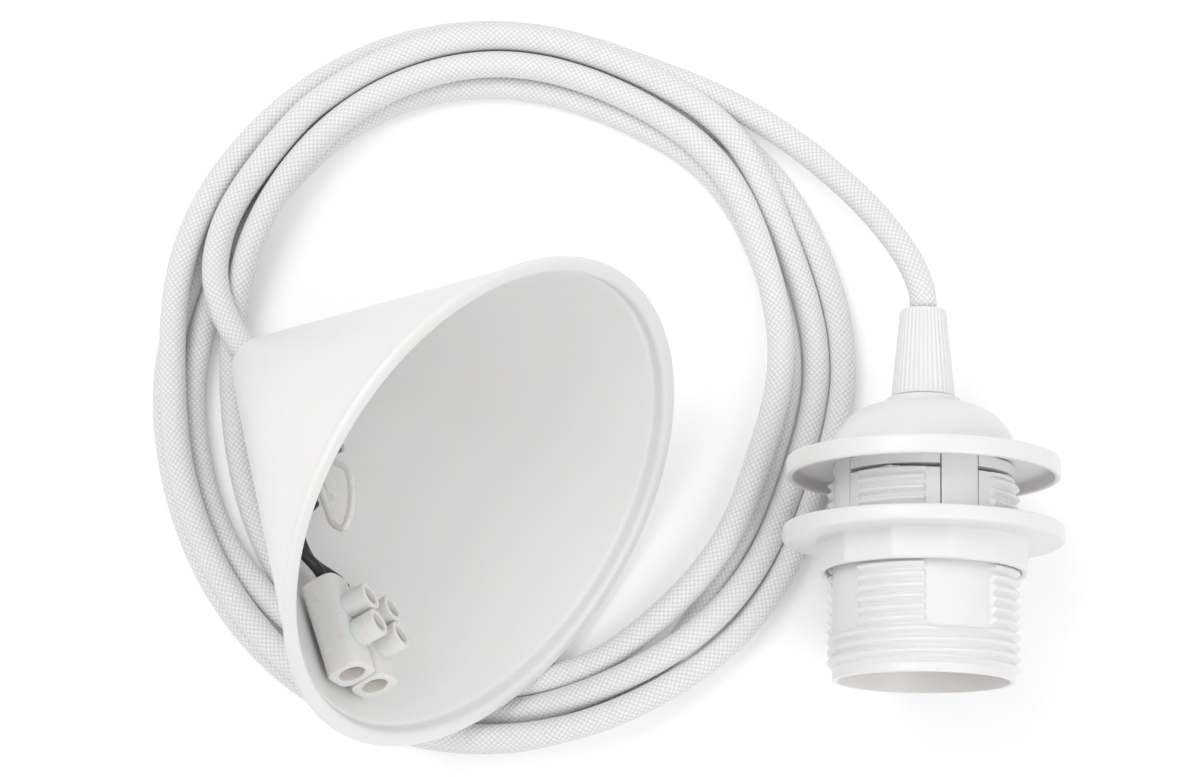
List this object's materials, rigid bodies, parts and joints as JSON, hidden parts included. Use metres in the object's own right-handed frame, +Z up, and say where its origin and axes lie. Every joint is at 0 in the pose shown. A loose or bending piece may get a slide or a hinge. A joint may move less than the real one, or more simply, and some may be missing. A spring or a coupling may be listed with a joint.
{
  "type": "pendant cord set",
  "caption": "Pendant cord set: white lamp holder with shade ring, long white textile cord in loose loops, conical ceiling cup with its cord clamp and terminal block.",
  "frame": {"origin": "on the table, under the middle of the box round the lamp holder and the ceiling cup", "axes": "+Z up; +X from the cup towards the lamp holder; -Y the way the lamp holder's mouth and the cup's mouth face"},
  "size_m": [0.1895, 0.1582, 0.0943],
  "materials": {
    "white_plastic": "satin white, moulded",
    "natural_plastic": "natural, slightly see-through",
    "ceramic": "unglazed",
    "brass": "plain",
    "steel": "zinc plated",
    "black_insulation": "smooth black",
    "white_textile": "fine braid"
  },
  "bodies": {
    "set": {"cord_grip": "white_plastic", "holder_cap": "white_plastic", "holder_skirt": "white_plastic", "contact_block": "ceramic", "lamp_thread": "brass", "centre_contact": "brass", "holder_screw_1": "brass", "holder_screw_2": "brass", "holder_wire_1": "black_insulation", "holder_wire_2": "black_insulation", "ceiling_cup": "white_plastic", "clamp_body": "natural_plastic", "clamp_bar": "natural_plastic", "clamp_screw_1": "steel", "clamp_screw_2": "steel", "terminal_block": "natural_plastic", "terminal_sleeve_1": "brass", "terminal_sleeve_2": "brass", "terminal_screw_1": "steel", "terminal_screw_2": "steel", "terminal_screw_3": "steel", "terminal_screw_4": "steel", "cup_wire_1": "black_insulation", "cup_wire_2": "black_insulation", "cord_lead": "white_textile", "cord_tail": "white_textile", "cord_coil": "white_textile"},
    "ring": {"shade_ring": "white_plastic"}
  },
  "joints": [
    {"name": "ring_travel", "type": "slide", "parent": "set", "child": "ring", "axis": [-0.0209, -0.9985, 0.0506], "range_m": [-0.0095, 0.0206]}
  ]
}
